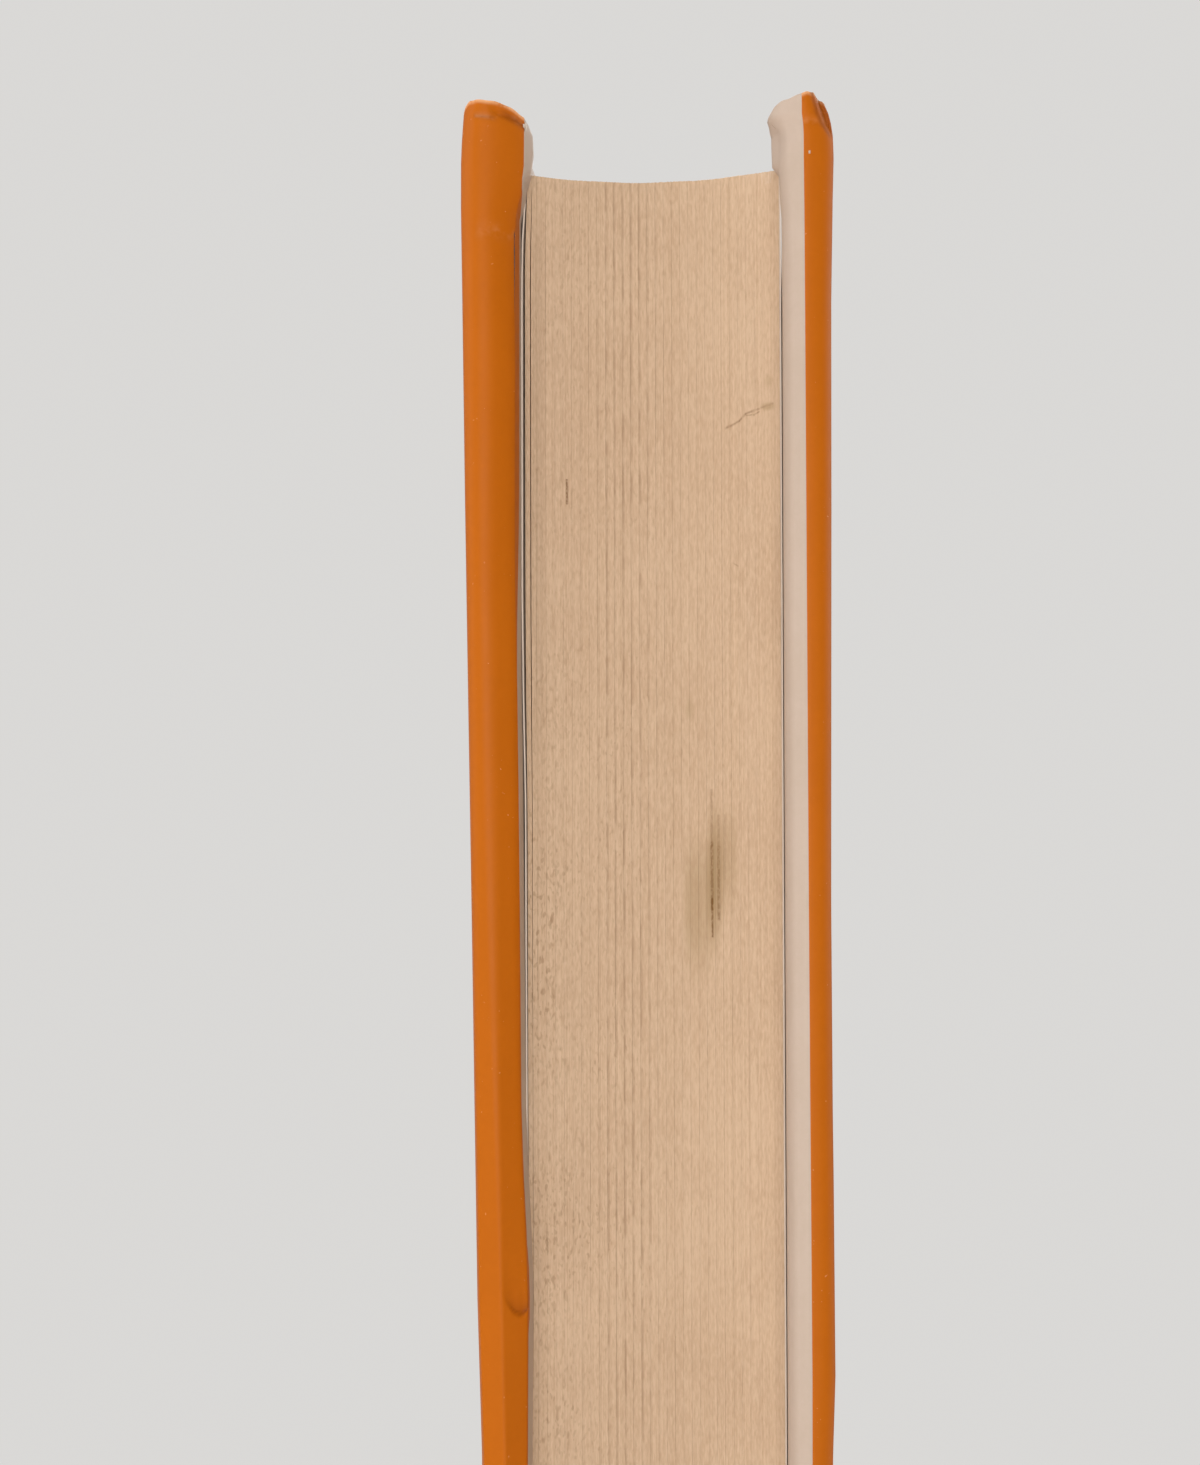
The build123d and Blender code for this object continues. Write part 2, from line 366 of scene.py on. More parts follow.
for tilt, scale, shown in (
    (0.1, (3600.0, 300.0, 1150.0), side_share),
    (0.7, (3900.0, 300.0, 1700.0), side_share),
    (-0.5, (2300.0, 300.0, 1100.0), rim_share),
    (0.6, (2900.0, 300.0, 1300.0), rim_share),
):
    flecks = noise(stretched(place, scale, tilt), 1.0, 0.0)
    flecks = times(ramp(flecks, 0.66, 0.77), shown)
    colour = mixed(flecks, colour, fleck_brown)
node(page_edge, "NodeGroupOutput", {"Colour": colour, "Tone": tone, "Height": fibre})


def leaf_finish(name):
    """A material for cut leaf edges, with what its marks are drawn from."""
    material, shader, place = finish(name, Roughness=0.92, Specular_IOR_Level=0.18)
    tone = painted(shader, "leaf_tone")
    edge = filled(page_edge, {"Place": place, "Leaf Tone": tone, "Seam": painted(shader, "seam")})
    return material, shader, place, tone, edge


leaf_relief = 0.02 * mm, 0.6
page_paper, shader, place, leaf_tone, edge = leaf_finish("page_paper")
surface(shader, edge["Colour"], edge["Height"], *leaf_relief)

# The marked leaves: an olive smudge with dark streaks, a wrinkle near the head drawn as a line of painted
# shade, and a short dash
page_marked, shader, place, leaf_tone, edge = leaf_finish("page_paper_marked")
smudge_olive, streak_and_shade_brown = tint(140, 112, 64), tint(106, 66, 22)
colour = edge["Colour"]
axes = parts_of(place)
flat_place = place_at(axes[0], z=axes[2])
band_left, band_right = ramp(axes[0], 2.9 * mm, 3.6 * mm), ramp(axes[0], 8.9 * mm, 8.3 * mm)
stain_band = times(band_left, band_right)
stain_band = calc("MAXIMUM", stain_band, ramp(axes[2], 195.0 * mm, 200.0 * mm))
stain_band = times(stain_band, scaled(leaf_tone, 0.8, 0.4))
stain_band = times(stain_band, scaled(edge["Tone"], 0.8, 0.5))
smudges = (
    ((4.7, 157.3), (3.0, 9.6), 0.38),
    ((6.4, 160.6), (1.3, 9.4), 0.52),
    ((7.9, 162.0), (2.0, 7.0), 0.3),
    ((3.9, 177.2), (0.7, 1.6), 0.25),
    ((12.0, 207.6), (1.0, 0.6), 0.4),
    ((12.1, 210.2), (0.6, 0.9), 0.25),
)
for (x, z), (reach_x, reach_z), strength in smudges:
    centre, reach = (x * mm, 0.0, z * mm), (reach_x * mm, 1.0, reach_z * mm)
    spot = filled(soft_spot, {"Place": flat_place, "Centre": centre, "Reach": reach})[0]
    patchy = times(spot, stain_band, strength)
    colour = mixed(patchy, colour, smudge_olive)
grain = ramp(noise(stretched(place, (4000.0, 300.0, 2400.0)), 1.0, 1.0), 0.32, 0.6)
grain = scaled(grain, 0.6, 0.4)
marks = (
    ((6.10, 169.0), (6.10, 163.0), 0.2, 0.4),
    ((6.10, 163.6), (6.12, 157.0), 0.25, 0.66),
    ((6.11, 158.0), (6.15, 154.2), 0.17, 0.85),
    ((6.81, 166.4), (6.80, 163.0), 0.2, 0.34),
    ((6.80, 163.2), (6.79, 156.0), 0.26, 0.55),
    ((7.44, 166.5), (7.43, 160.0), 0.14, 0.22),
    # The wrinkle near the head: a line of painted shade along its crease, not a stain
    ((7.72, 205.8), (8.5, 206.1), 0.2, 0.52),
    ((8.5, 206.1), (9.07, 206.4), 0.16, 0.5),
    ((9.07, 206.4), (9.78, 207.1), 0.16, 0.55),
    ((9.78, 207.1), (11.0, 207.45), 0.18, 0.55),
    ((9.85, 206.9), (10.6, 206.9), 0.12, 0.5),
    ((10.6, 206.9), (11.1, 207.15), 0.12, 0.5),
    ((11.0, 207.45), (12.48, 207.85), 0.16, 0.3),
    ((8.39, 191.98), (8.90, 191.65), 0.12, 0.35),
    ((-8.47, 200.6), (-8.44, 198.2), 0.16, 0.9),
)
for (start_x, start_z), (end_x, end_z), width, strength in marks:
    start, end = (start_x * mm, 0.0, start_z * mm), (end_x * mm, 0.0, end_z * mm)
    line = filled(mark_line, {"Place": flat_place, "From": start, "To": end, "Width": width * mm})[0]
    shown = times(line, grain, strength)
    colour = mixed(shown, colour, streak_and_shade_brown)
surface(shader, colour, edge["Height"], *leaf_relief)


def grown(piece, tree, values):
    """Fills the inputs of a geometry tree, and leaves its result on the piece as a plain mesh."""
    growth = piece.modifiers.new("growth", "NODES")
    growth.node_group = tree
    for item in tree.interface.items_tree:
        if item.in_out == "INPUT":
            growth[item.identifier] = values[item.name]
    bpy.context.view_layer.update()
    shape = piece.evaluated_get(bpy.context.evaluated_depsgraph_get())
    mesh = bpy.data.meshes.new_from_object(shape)
    mesh.name = piece.name
    piece.modifiers.clear()
    piece.data = mesh
    return piece


text_block = grown(
    new_piece("text_block_leaves", bpy.data.meshes.new("stack")),
    gather,
    {
        "Leaf": leaf_rim, "Leaves": leaf_count, "Pitch": leaf_pitch, "Gathering": gathering_size,
        "Gathering Gap": gathering_gap, "Start": (leaf_pitch / 2 - block_half, 0.0, 0.0),
        "Uneven": 0.02 * mm, "Seed": 5, "Paper": page_paper,
    },
)
bpy.data.objects.remove(leaf_rim, do_unlink=True)
leaves = text_block.data


def read(items, name, kind=np.int32, width=1):
    """A value, or a few, of every item in a list that a mesh keeps."""
    values = np.empty(len(items) * width, kind)
    items.foreach_get(name, values)
    return values


points = read(leaves.vertices, "co", float, 3).reshape(-1, 3)
leaf_of = read(leaves.attributes["leaf"].data, "value", np.float32).astype(int)
gathering_of = leaf_of // gathering_size

# The fore-edge ripples a little, the first leaves spring out near the head, and the head is jogged
edge_share = smooth(points[:, 1], rim_depth * 1.05 - page_width, -page_width)
swing = rng.uniform(0, 2 * math.pi, (4, leaf_count))
slow_ripple, quick_ripple = 0.012, 0.004
ripple = slow_ripple * np.sin(points[:, 2] * 50 + swing[0][gathering_of])
ripple += quick_ripple * np.sin(points[:, 2] * 260 + swing[1][leaf_of])
ripple += rng.uniform(0, 0.025, leaf_count)[gathering_of] + 0.03
sprung_up = (
    (0, 0.0), (96, 0.08), (124.5, 0.25), (144.5, 0.34), (164.5, 0.45), (174.5, 0.8),
    (184.5, 1.0), (215.5, 1.0), (219.8, 0.94), (222.4, 0.79), (224.9, 0.43), (228.0, 0.0),
)
spring_start, spring_end = -70 * mm, -148 * mm
sprung_leaves = (
    0.30, 0.286, 0.272, 0.258, 0.14, 0.13, 0.115, 0.10,
    0.085, 0.07, 0.055, 0.04, 0.03, 0.02, 0.015, 0.01,
)
spring_of = np.zeros(leaf_count)
spring_of[:len(sprung_leaves)] = sprung_leaves
sprung = spring_of[leaf_of] * along(sprung_up, points[:, 2] / mm)
sprung *= smooth(points[:, 1], spring_start, spring_end)
head_jog = rng.uniform(-0.05, 0.0, leaf_count)[leaf_of] + 0.03 * np.sin(points[:, 0] * 900)
at_head = points[:, 2] > page_height - 2 * mm
lean_x, lean_y = bind(points[:, 0], points[:, 1])
lean_x = lean_x - sprung * mm
lean_y = lean_y + ripple * edge_share * mm
lean_z = page_tail + points[:, 2] + np.where(at_head, head_jog * mm, 0.0)
leaves.vertices.foreach_set("co", np.column_stack([lean_x, lean_y, lean_z]).ravel())


def paint(mesh, name, values):
    """Stores a value on each point of a mesh, for its material to read."""
    mesh.attributes.new(name, "FLOAT", "POINT").data.foreach_set("value", values.astype(np.float32))


# Each leaf has its own tone, and the painted seam shade shows most a little left of the middle
tone_of = np.clip(rng.normal(0.66, 0.2, leaf_count), 0.1, 1.0)
paint(leaves, "leaf_tone", tone_of[leaf_of])
leaf_place = (np.arange(leaf_count) + 0.5) * 2 * block_half / leaf_count - block_half + middle_x
seam_middle, seam_spread = -2.6, 3.6
seam_strength = 0.1 + 0.85 * bell(leaf_place / mm, seam_middle, seam_spread)
seam_strength *= rng.uniform(0.4, 1.0, leaf_count // gathering_size).repeat(gathering_size)
leaf_in_fold = np.arange(leaf_count) % gathering_size
beside_seam = [leaf_in_fold == 0, leaf_in_fold == 1, leaf_in_fold == gathering_size - 1]
at_seam = seam_strength * np.select(beside_seam, [1.0, 0.6, 0.3], 0.0)
paint(leaves, "seam", at_seam[leaf_of])

# Only the leaves that a mark lies on have the marked finish
smudged_after, dash_after, dash_before = 141, 32, 38
leaves.materials.clear()
leaves.materials.append(page_paper)
leaves.materials.append(page_marked)
face_leaf = leaf_of[read(leaves.loops, "vertex_index")[read(leaves.polygons, "loop_start")]]
marked = (face_leaf > smudged_after) | ((face_leaf > dash_after) & (face_leaf < dash_before))
leaves.polygons.foreach_set("material_index", marked.astype(np.int32))
leaves.update()
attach(text_block, "book_block")
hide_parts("text_block")

# Heart of the text block: the solid mass of the same leaves behind their cut edges, glued in with them.
# It closes the stack so that no light passes between the leaves.
heart_columns, heart_inset, heart_share = 32, 1.0 * mm, 0.995
heart_depths = [rim_depth * 0.6 - page_width]
heart_depths += [-back * mm for back in (80, 14, 7, 4.6, 3.2, 2, 1, 0)]


def slab_faces(rows, columns):
    """Faces that close two layers of points: those of one layer, of the other, and of the rim between."""
    level = rows * columns
    near = []
    for r in range(rows - 1):
        for c in range(columns - 1):
            corner = r * columns + c
            near.append((corner, corner + 1, corner + columns + 1, corner + columns))
    far = [tuple(v + level for v in reversed(quad)) for quad in near]
    border = list(range(columns))
    border += [r * columns + columns - 1 for r in range(1, rows)]
    border += [(rows - 1) * columns + c for c in range(columns - 2, -1, -1)]
    border += [r * columns for r in range(rows - 2, 0, -1)]
    rim = []
    for first, second in zip(border, border[1:] + border[:1]):
        rim.append((second, first, first + level, second + level))
    return near, far, rim


def slab_piece(name, points, rows, columns, material):
    """A closed piece from two layers of points."""
    near, far, rim = slab_faces(rows, columns)
    return closed_piece(name, points, near + far + rim, material)


heart_points = []
for z in (page_tail + heart_inset, page_tail + page_height - heart_inset):
    for x in np.linspace(-block_half * heart_share, block_half * heart_share, heart_columns):
        heart_points += [(*bind(x, y), z) for y in heart_depths]
text_heart = slab_piece("text_block_heart", heart_points, heart_columns, len(heart_depths), page_paper)
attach(text_heart, "book_block")

# Flyleaves: the free half of each endpaper, a smooth off-white sheet heavier than the pages, tipped to
# the first and last leaf along the shoulder. The front one bows off the pages near the head.
endpaper_thickness = 0.15 * mm
curl_start, curl_end = -148.5 * mm, -page_width
sheet_depths = np.array(
    [0, -1, -2, -3, -4, -5, -8, -20, -45, -70, -90, -110, -125, -137, -145, -148, -149.5, -151, -152]
) * mm
sheet_heights = np.linspace(0.0, page_height, 70)
paper_fibre, fibre_in = new_group(
    "paper_fibre",
    "ShaderNodeTree",
    {"Place": "Vector", "Fibre": "Float", "Cloud": "Float"},
    {"Tone": "Float", "Height": "Float"},
)
fibre_fine = noise(fibre_in["Place"], fibre_in["Fibre"], 2.0, 0.65)
fibre_cloud = noise(fibre_in["Place"], fibre_in["Cloud"], 2.0, 0.6)
fibre_cloud = times(fibre_cloud, 0.6)
fibre_tone = scaled(fibre_fine, 0.4, fibre_cloud)
node(paper_fibre, "NodeGroupOutput", {"Tone": fibre_tone, "Height": fibre_fine})


def fibre_finish(name, sizes, spread, dark, light, relief, **settings):
    """A paper or board: two colours mingled by its fibres, which also stand out a little."""
    material, shader, place = finish(name, **settings)
    fibre = filled(paper_fibre, {"Place": place, "Fibre": sizes[0], "Cloud": sizes[1]})
    surface(shader, mixed(ramp(fibre[0], *spread), dark, light), fibre[1], *relief)
    return material


endpaper = fibre_finish(
    "endpaper", (2200.0, 160.0), (0.3, 0.7), tint(219, 204, 188), tint(224, 209, 194), (0.015 * mm, 0.5),
    Roughness=0.8, Specular_IOR_Level=0.25,
)
for cover, side, spring, curl in (("front", -1, 0.40 * mm, 0.15 * mm), ("back", 1, 0.02 * mm, 0.0)):
    lean = spring * smooth(sheet_depths, spring_start, spring_end)
    lean += curl * smooth(sheet_depths, curl_start, curl_end)
    rise = np.clip(sheet_depths + flare_run, 0.0, flare_run)
    turn = np.arcsin(np.clip(rise / flare_radius, 0.0, 0.9))
    sheet_points = []
    for thickness in (0.0, endpaper_thickness):
        for z in sheet_heights:
            out = thickness + along(sprung_up, z / mm) * lean
            reach = flare_radius - out
            x = np.where(rise > 0, block_half + flare_radius - reach * np.cos(turn), block_half + out)
            y = np.where(rise > 0, -flare_run + reach * np.sin(turn), sheet_depths)
            sheet_points += [(middle_x + side * px, shoulder_y + py, page_tail + z) for px, py in zip(x, y)]
    sheet_grid = len(sheet_heights), len(sheet_depths)
    flyleaf = slab_piece(cover + "_flyleaf_sheet", sheet_points, *sheet_grid, endpaper)
    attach(flyleaf, "book_block")
    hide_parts(cover + "_flyleaf")

# Pastedowns: the glued half of each endpaper, the same sheet as the flyleaf, stuck over the turned-in
# cloth and the board inside each cover.


def dress(material, *names):
    """Gives pieces that keep their own shape their finish."""
    for name in names:
        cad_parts[name].material_slots[0].material = material


dress(endpaper, "front_pastedown", "back_pastedown")

# Headbands: a rolled bead of two-coloured thread wound over a cord, sewn to a tape that is glued to
# each end of the rounded spine, so the bead sits on the ends of the leaves.
bead_radius, band_height, band_thickness = 0.9 * mm, 10.0 * mm, 0.3 * mm
thread_radius, thread_turns = 0.2 * mm, 84
tape_lift, tape_steps = 0.01 * mm, 28
shoulder_flare = 2.8 * mm
half_spine = block_half + shoulder_flare
spine_radius = (half_spine**2 + spine_round**2) / (2 * spine_round)
spine_centre_y = shoulder_y + spine_round - spine_radius
band_half_angle = math.asin(half_spine / spine_radius) - math.radians(1.5)
winding, wind_in = new_group(
    "wound_bead",
    "GeometryNodeTree",
    {
        "Radius": "Float", "Half Angle": "Float", "Bead": "Float", "Thread": "Float", "Turns": "Int",
        "Light Thread": "Material", "Dark Thread": "Material",
    },
    {"Band": "Geometry"},
)


def ring(steps, radius):
    """A circle of the winding tree."""
    return shaped("CurvePrimitiveCircle", {"Resolution": steps, "Radius": radius}, mode="RADIUS")


sweep = times(wind_in["Half Angle"], 2.0)
sweep_start = calc("SUBTRACT", math.pi / 2, wind_in["Half Angle"])
arc_line = {"Resolution": 48, "Radius": wind_in["Radius"], "Start Angle": sweep_start, "Sweep Angle": sweep}
arc = shaped("CurveArc", arc_line, mode="RADIUS")
spots = node(winding, "GeometryNodeCurveToPoints", {"Curve": arc, "Count": wind_in["Turns"]}, mode="COUNT")
turn_number = node(winding, "GeometryNodeInputIndex").outputs[0]
stripe = calc("GREATER_THAN", calc("MODULO", turn_number, 6.0), 2.5)
stripe_label = {"Geometry": spots.outputs[0], "Name": "stripe", "Value": stripe}
striped = shaped("StoreNamedAttribute", stripe_label, data_type="FLOAT", domain="POINT")
loop_radius = calc("SUBTRACT", wind_in["Bead"], wind_in["Thread"])
loop_line = {"Curve": ring(14, loop_radius), "Profile Curve": ring(6, wind_in["Thread"])}
loop = shaped("CurveToMesh", loop_line)
loops_at = {"Points": striped, "Instance": loop, "Rotation": spots.outputs["Rotation"]}
turns = shaped("RealizeInstances", {"Geometry": shaped("InstanceOnPoints", loops_at)})
turns = shaped("SetMaterial", {"Geometry": turns, "Material": wind_in["Light Thread"]})
stripe_read = node(winding, "GeometryNodeInputNamedAttribute", {"Name": "stripe"}, data_type="FLOAT")
is_dark = calc("GREATER_THAN", stripe_read.outputs[0], 0.5)
dark_look = {"Geometry": turns, "Selection": is_dark, "Material": wind_in["Dark Thread"]}
turns = shaped("SetMaterial", dark_look)
cord_line = {"Curve": arc, "Profile Curve": ring(10, loop_radius), "Fill Caps": True}
cord = shaped("CurveToMesh", cord_line)
cord = shaped("SetMaterial", {"Geometry": cord, "Material": wind_in["Light Thread"]})
band_parts = node(winding, "GeometryNodeJoinGeometry")
for band_part in (turns, cord):
    winding.links.new(band_part, band_parts.inputs[0])
band_real = shaped("RealizeInstances", {"Geometry": band_parts.outputs[0]})
node(winding, "NodeGroupOutput", {"Band": band_real})
band_threads = []
for name, low, high in (
    ("light_thread", tint(214, 196, 168), tint(234, 220, 196)),
    ("dark_thread", tint(150, 78, 26), tint(178, 98, 36)),
):
    thread_finish, shader, place = finish(name, Roughness=0.6, Specular_IOR_Level=0.35)
    ply = noise(stretched(place, (4000.0, 4000.0, 9000.0)), 1.0, 3.0)
    surface(shader, mixed(ramp(ply, 0.3, 0.7), low, high), ply, 0.04 * mm, 0.7)
    band_threads.append(thread_finish)
for band, end_z, way in (("headband", page_tail + page_height, 1), ("tailband", page_tail, -1)):
    wound_band = grown(
        new_piece(band + "_wound", bpy.data.meshes.new(band)),
        winding,
        {
            "Radius": spine_radius + band_thickness - bead_radius,
            "Half Angle": band_half_angle, "Bead": bead_radius, "Thread": thread_radius,
            "Turns": thread_turns, "Light Thread": band_threads[0], "Dark Thread": band_threads[1],
        },
    )
    for vertex in wound_band.data.vertices:
        vertex.co.x += middle_x
        vertex.co.y += spine_centre_y
        vertex.co.z += end_z + way * bead_radius
    tape_points = []
    for reach in (spine_radius + tape_lift, spine_radius + band_thickness):
        for z in (end_z + way * bead_radius, end_z - way * band_height):
            for a in np.linspace(-band_half_angle, band_half_angle, tape_steps):
                tape_points.append((middle_x + reach * math.sin(a), spine_centre_y + reach * math.cos(a), z))
    tape = slab_piece(band + "_tape", tape_points, 2, tape_steps, band_threads[0])
    for piece in (wound_band, tape):
        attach(piece, "book_block")
    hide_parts(band)

# Mull: starched open gauze, glued over the spine and out under each pastedown, that ties the pages to
# the boards. It is hidden once the book is cased in.
weave, weave_in = new_group(
    "plain_weave",
    "ShaderNodeTree",
    {"Place": "Vector", "Threads": "Float"},
    {"Height": "Float", "Slub": "Float"},
)
weave_axes = parts_of(weave_in["Place"])
weave_across = calc("ADD", weave_axes[0], weave_axes[1])
thread_rate = times(weave_in["Threads"], math.pi)
weft, warp = (calc("SINE", times(run, thread_rate)) for run in (weave_across, weave_axes[2]))
thread_height = scaled(times(weft, warp), 0.5, 0.5)
slub = noise(stretched(weave_in["Place"], (160.0, 160.0, 900.0)), 1.0, 4.0)
node(weave, "NodeGroupOutput", {"Height": thread_height, "Slub": slub})
gauze, shader, place = finish("gauze", Roughness=0.95, Specular_IOR_Level=0.1)
woven = filled(weave, {"Place": place, "Threads": 900.0})
colour = mixed(woven[0], tint(150, 142, 126), tint(226, 218, 200))
surface(shader, colour, woven[0], 0.1 * mm, 0.8)
dress(gauze, "spine_mull", "front_mull_wing", "back_mull_wing")

# Boards and spine strip: pressed grey board, with flecks of the old paper that it is made from. The
# strip stiffens the spine of the case and is free of the pages behind it.
greyboard = fibre_finish(
    "greyboard", (1400.0, 160.0), (0.3, 0.7), tint(112, 106, 98), tint(150, 143, 132), (0.06 * mm, 0.7),
    Roughness=0.95, Specular_IOR_Level=0.12,
)
dress(greyboard, "front_board", "back_board", "spine_strip")

# Case cloth: plain dark book cloth, glued over the boards and the strip, turned in on three sides, and
# pressed down into a groove beside each shoulder, where the covers bend. The cloth across each groove is
# a thin strip of its own here, which stays with the pages.
book_cloth, shader, place = finish(
    "book_cloth", Roughness=0.78, Specular_IOR_Level=0.3, Sheen_Weight=0.15, Sheen_Roughness=0.4
)
woven = filled(weave, {"Place": place, "Threads": 2600.0})
cloth_tone = scaled(woven[0], 0.5, times(woven[1], 0.5))
colour = mixed(cloth_tone, tint(34, 31, 30), tint(66, 61, 58))
surface(shader, colour, woven[0], 0.05 * mm, 0.7)
dress(book_cloth, "front_cloth", "back_cloth", "spine_cloth")
cloth_low, cloth_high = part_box("spine_cloth")
joint_inset, joint_half_thickness = 0.05 * mm, 0.14
joint_path = np.array(
    [(16.35, 1.72), (16.74, 1.28), (16.9, 0.7), (16.86, 0.1), (16.62, -0.55), (16.19, -1.19)]
)
joint_way = np.gradient(joint_path, axis=0)
joint_way /= np.linalg.norm(joint_way, axis=1, keepdims=True)
joint_off = np.column_stack([joint_way[:, 1], -joint_way[:, 0]]) * joint_half_thickness
joint_walls = np.stack([joint_path + joint_off, joint_path - joint_off], axis=1).reshape(-1, 2)
for cover, side in (("front", -1), ("back", 1)):
    joint_points = []
    for z in (cloth_low[2] + joint_inset, cloth_high[2] - joint_inset):
        joint_points += [(middle_x + side * x * mm, shoulder_y + y * mm, z) for x, y in joint_walls]
    joint_cloth = slab_piece(cover + "_joint_cloth", joint_points, len(joint_path), 2, book_cloth)
    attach(joint_cloth, "book_block")

# Dust jacket: one sheet of coated paper, printed orange and filmed, wrapped round the case with its
# white flaps tucked behind the boards. It has slipped up a little, so its head stands proud of the
# boards; the folds flare and crease there, and the print misses the folds by a few millimetres.
jacket_thickness = 0.2 * mm
# Sizes of the sheet are in plain millimetres until its grid is made
case_fore = -156.0
jacket_out = 4.375
jacket_tail, jacket_head = 2.5, 237.5
over_spine, past_spine_edge = 2.3, 0.6
spine_jacket_out = spine_radius / mm + over_spine
spine_edge_angle = math.asin(half_spine / spine_radius) + past_spine_edge / (spine_radius / mm)
bridge_y = -5.6
lift_run, fold_lip = 20.0, -0.3
flap_lip, turn_run, flap_width = 0.2, 15.5, 85.0
head_slack_from = 226.0

jacket_print, shader, place = finish("jacket_print", Specular_IOR_Level=0.14)
orange_dark, orange_light = tint(181, 93, 0), tint(184, 95, 1)
white_dark, white_light = tint(187, 168, 152), tint(190, 171, 156)
worn_pale, fold_shade_brown = tint(232, 176, 128), tint(104, 44, 6)
white_field = calc("GREATER_THAN", painted(shader, "past_print"), 0.0)
fibre = filled(paper_fibre, {"Place": place, "Fibre": 1500.0, "Cloud": 140.0})
rub = noise(place, 420.0, 3.0, 0.7)
specks = noise(place, 2600.0, 1.0, 0.5)
paper_tone = ramp(fibre[0], 0.35, 0.65)
orange = mixed(paper_tone, orange_dark, orange_light)
white = mixed(paper_tone, white_dark, white_light)
edge_near = ramp(painted(shader, "cut_edge"), 0.5, 0.02)
edge_worn = times(edge_near, ramp(rub, 0.26, 0.48))
crease_worn = times(painted(shader, "crease"), ramp(rub, 0.4, 0.65))
chipped = times(ramp(specks, 0.74, 0.78), ramp(rub, 0.5, 0.6))
worn = times(edge_worn, 0.8)
worn = calc("MAXIMUM", worn, times(crease_worn, 0.35))
worn = calc("MAXIMUM", worn, times(chipped, 0.35))
orange = mixed(worn, orange, worn_pale)
colour = mixed(white_field, orange, white)
# Painted shade: the dent, the tucks and the bent-over corner of the folds are darkened to brown
colour = mixed(times(painted(shader, "grime"), 0.6), colour, fold_shade_brown)
gloss = scaled(rub, 0.16, 0.44)
jacket_print.node_tree.links.new(gloss, shader.inputs["Roughness"])
surface(shader, colour, fibre[1], 0.008 * mm, 0.5)

jacket_reverse = fibre_finish(
    "jacket_reverse", (2000.0, 120.0), (0.35, 0.65), tint(206, 193, 180), tint(216, 204, 192),
    (0.015 * mm, 0.5), Roughness=0.7, Specular_IOR_Level=0.25,
)

# The folds, in millimetres. Outer, inner and ridge are distances from the face of the pages
# at each height, depth is how far the ridge stands forward, and bulge how far the flap leans in. Round is
# how far the corners are softened and print how much of the fold is printed, as shares of the fold. Rim
# is the rise of the head along the fold, corner and tuck are the bends beside it, and settle is where the
# flap comes to lie flat, at the distance flap.
fold_shapes = {
    "front": {
        "side": -1,
        "flap": 0.57,
        "settle": (4.6, 9.0),
        "outer": (
            (0, 4.38), (100, 4.2), (104, 4.24), (119, 4.68), (138, 4.96), (158, 5.25), (178, 5.57),
            (198, 5.88), (218, 6.14), (227, 6.27), (231.6, 6.26), (233.6, 6.18), (235.1, 6.08),
            (236.2, 6.0), (237.5, 5.9),
        ),
        "inner": (
            (0, 0.0), (100, -0.25), (104, -0.27), (119, -0.36), (125, -0.2), (131, 0.1), (138, 0.32),
            (158, 0.46), (170, 0.56), (180, 0.7), (190, 0.88), (200, 0.9), (211, 0.86), (222.8, 0.95),
            (224.6, 0.88), (226.6, 0.7), (228.8, 0.2), (231.3, -0.12), (237.5, -0.18),
        ),
        "bulge": ((0, 0), (229.8, 0), (231.2, 0.42), (233, 0.66), (234.8, 0.56), (236, 0.1)),
        "ridge": ((0, 1.7), (103, 1.72), (131, 2.33), (158, 2.94), (188, 3.5), (238, 3.6)),
        "corner": (0.35, 1.25),
        "depth": ((0, 1.8), (200, 1.8), (232, 2.1), (238, 2.3)),
        "tuck": (0.06, 0.1),
        "round": ((0, 0.025), (122, 0.03), (140, 0.07), (165, 0.12), (238, 0.16)),
        "print": (
            (0, 0.965), (115.5, 0.965), (117, 1.03), (122.5, 1.03), (124, 0.965), (172, 0.965),
            (200, 1.08), (227, 1.1), (230.5, 0.96), (238, 0.96),
        ),
        "rim": (
            (0.0, -0.8), (0.1, -0.42), (0.22, -0.12), (0.36, 0.0), (0.55, -0.23), (0.73, -0.6),
            (0.84, -1.1), (1.0, -1.6),
        ),
    },
    "back": {
        "side": 1,
        "flap": 0.5,
        "settle": (0.2, 3.6),
        "outer": (
            (0, 4.45), (100, 4.5), (105, 4.6), (112, 4.86), (118, 4.84), (131, 4.8), (138, 4.75),
            (158, 4.72), (197, 4.98), (217, 5.08), (227, 5.28), (231.2, 5.4), (233.4, 5.34),
            (234.7, 5.15), (235.7, 4.9), (236.4, 4.6), (237.5, 4.3),
        ),
        "inner": (
            (0, 0.19), (105, 0.2), (158, 0.2), (197, 0.22), (217, 0.24), (225.7, 0.2), (228.2, 0.05),
            (231, -0.08), (233, -0.02), (234.0, -0.16), (234.7, -0.7), (235.3, -1.2), (236, -0.9),
            (237.5, -0.6),
        ),
        "bulge": ((0, 0), (229.8, 0), (231.0, 0.85), (233, 0.95), (234.4, 0.85), (235.2, 0.4), (236, 0.2)),
        "ridge": ((0, 2.4), (238, 2.4)),
        "corner": (0.6, 1.15),
        "depth": ((0, 1.6), (200, 1.7), (232, 2.0), (238, 2.3)),
        "tuck": (0.5, 1.0),
        "round": ((0, 0.12), (238, 0.12)),
        "print": ((0, 0.47), (105, 0.47), (217, 0.5), (238, 0.51)),
        "rim": (
            (0.0, -0.9), (0.12, -0.6), (0.2, -0.4), (0.27, 0.0), (0.5, -0.3), (0.75, -0.75),
            (0.9, -1.2), (1.0, -2.0),
        ),
    },
}
heights = np.concatenate(
    [
        np.linspace(jacket_tail, 100, 30),
        np.linspace(100, 226, 84),
        np.linspace(115, 122, 29),
        np.linspace(222, 228, 16),
        np.linspace(226, jacket_head, 44),
    ]
)
heights = np.unique(np.round(heights, 3))
z_grid = heights[:, None]
